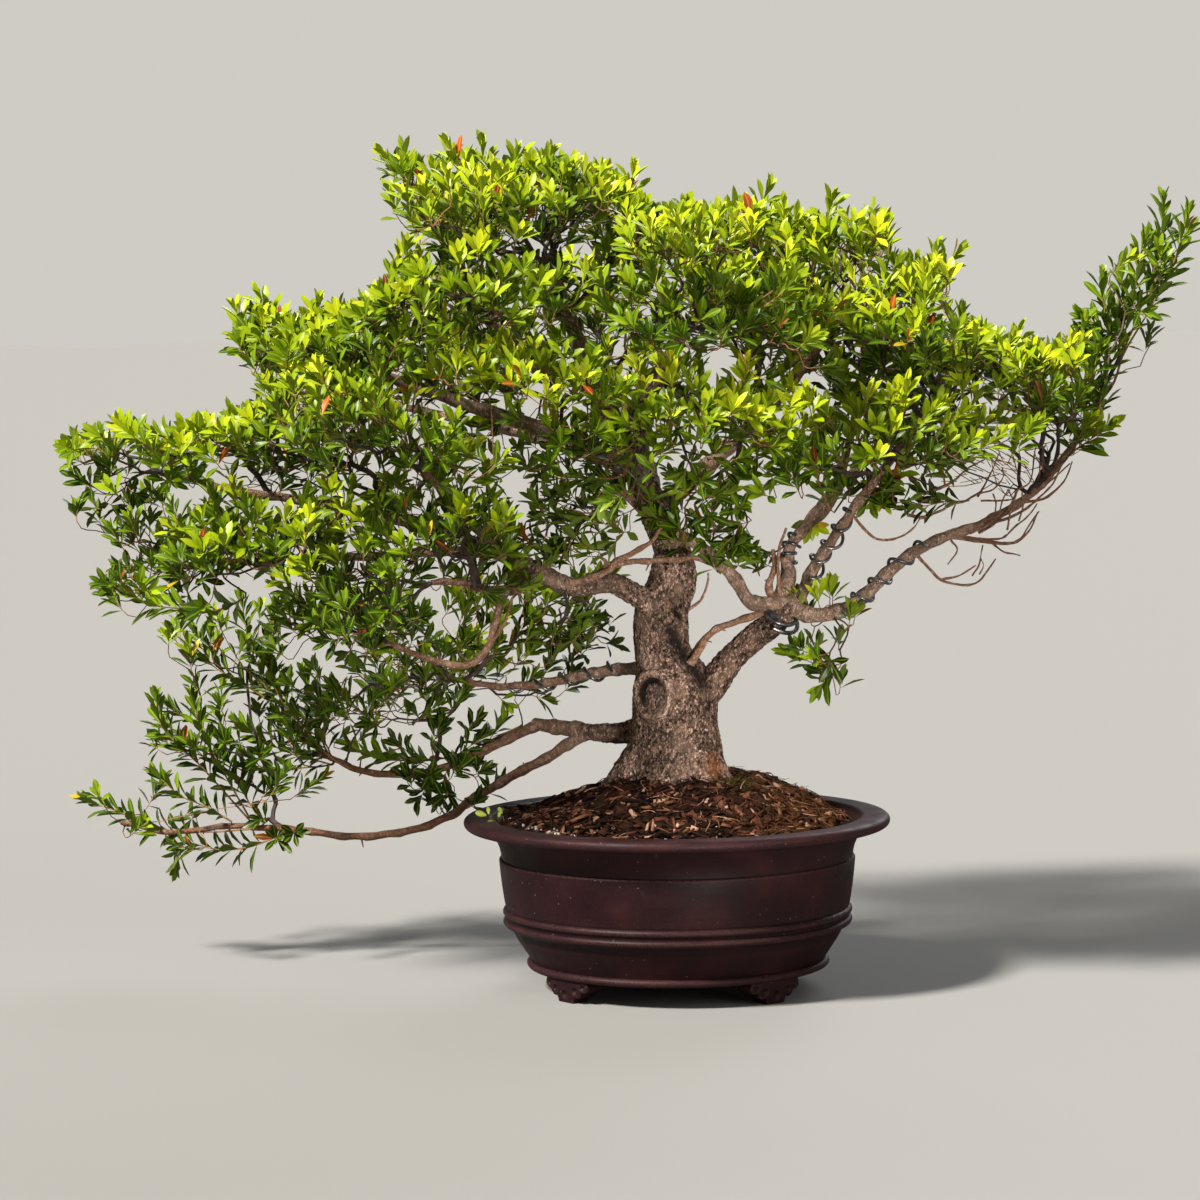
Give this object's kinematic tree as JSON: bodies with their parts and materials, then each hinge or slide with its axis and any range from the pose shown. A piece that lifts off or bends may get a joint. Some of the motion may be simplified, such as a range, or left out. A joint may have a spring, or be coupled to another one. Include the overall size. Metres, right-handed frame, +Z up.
{
  "type": "satsuki azalea bonsai",
  "caption": "Spreading azalea bonsai with a thick flared trunk, long side limbs and leafy pads, in a round unglazed pot on cloud feet.",
  "frame": {"origin": "middle of the whole tree's footprint, at the height of the foot soles", "axes": "+Z up, +X to the tree's right as seen from its front, -Y towards the front"},
  "size_m": [0.928, 0.5494, 0.6841],
  "materials": {
    "stoneware": "satin",
    "screen_plastic": "matte",
    "soil": "matte",
    "bark_mulch": "matte",
    "bark": "matte",
    "leaf": "satin",
    "wire": "satin",
    "seedling_leaf": "satin"
  },
  "bodies": {
    "root": {"pot": "stoneware", "pot_foot_front_right": "stoneware", "pot_foot_front_left": "stoneware", "pot_foot_back_right": "stoneware", "pot_foot_back_left": "stoneware", "drainage_screen_1": "screen_plastic", "drainage_screen_2": "screen_plastic", "soil": "soil", "bark_mulch": "bark_mulch", "trunk_and_limbs": "bark", "training_wire_heavy": "wire", "training_wire_main_right": "wire", "training_wire_leaning_right": "wire", "training_wire_upright_right": "wire", "training_wire_low_left": "wire", "seedling": "seedling_leaf", "branchlet_apex_spike": "leaf", "branchlet_apex_crown_left": "leaf", "branchlet_apex_crown_back": "leaf", "branchlet_apex_crown_front": "leaf", "branchlet_apex_shoulder": "leaf", "branchlet_upper_back_spray": "leaf", "branchlet_upper_right_inner": "leaf", "branchlet_upper_right_end": "leaf", "branchlet_upper_right_front": "leaf", "branchlet_right_spike": "leaf", "branchlet_right_pad_crown": "leaf", "branchlet_right_pad_top": "leaf", "branchlet_right_pad_front": "leaf", "branchlet_right_pad_back": "leaf", "branchlet_right_pad_outer": "leaf", "branchlet_right_pad_end": "leaf", "branchlet_far_right_shoots": "leaf", "branchlet_upper_front_spray": "leaf", "branchlet_upper_front_low": "leaf", "branchlet_centre_front_spray": "leaf", "branchlet_centre_front_low": "leaf", "branchlet_upper_left_end": "leaf", "branchlet_upper_left_mid": "leaf", "branchlet_upper_left_back": "leaf", "branchlet_back_left_spray": "leaf", "branchlet_back_left_crown": "leaf", "branchlet_back_centre_spray": "leaf", "branchlet_left_end": "leaf", "branchlet_left_mid": "leaf", "branchlet_left_inner": "leaf", "branchlet_left_low_end": "leaf", "branchlet_left_low_mid": "leaf", "branchlet_front_left_spray": "leaf", "branchlet_front_low_spray": "leaf", "branchlet_front_low_centre": "leaf", "branchlet_hanging_spray": "leaf", "branchlet_low_back_spray": "leaf", "branchlet_second_trailing_end": "leaf", "branchlet_second_trailing_mid": "leaf", "branchlet_second_trailing_root": "leaf", "branchlet_trailing_shoot_high": "leaf", "branchlet_trailing_shoot_mid": "leaf", "branchlet_trailing_end": "leaf", "branchlet_hanging_right_sprig": "leaf"}
  },
  "joints": []
}
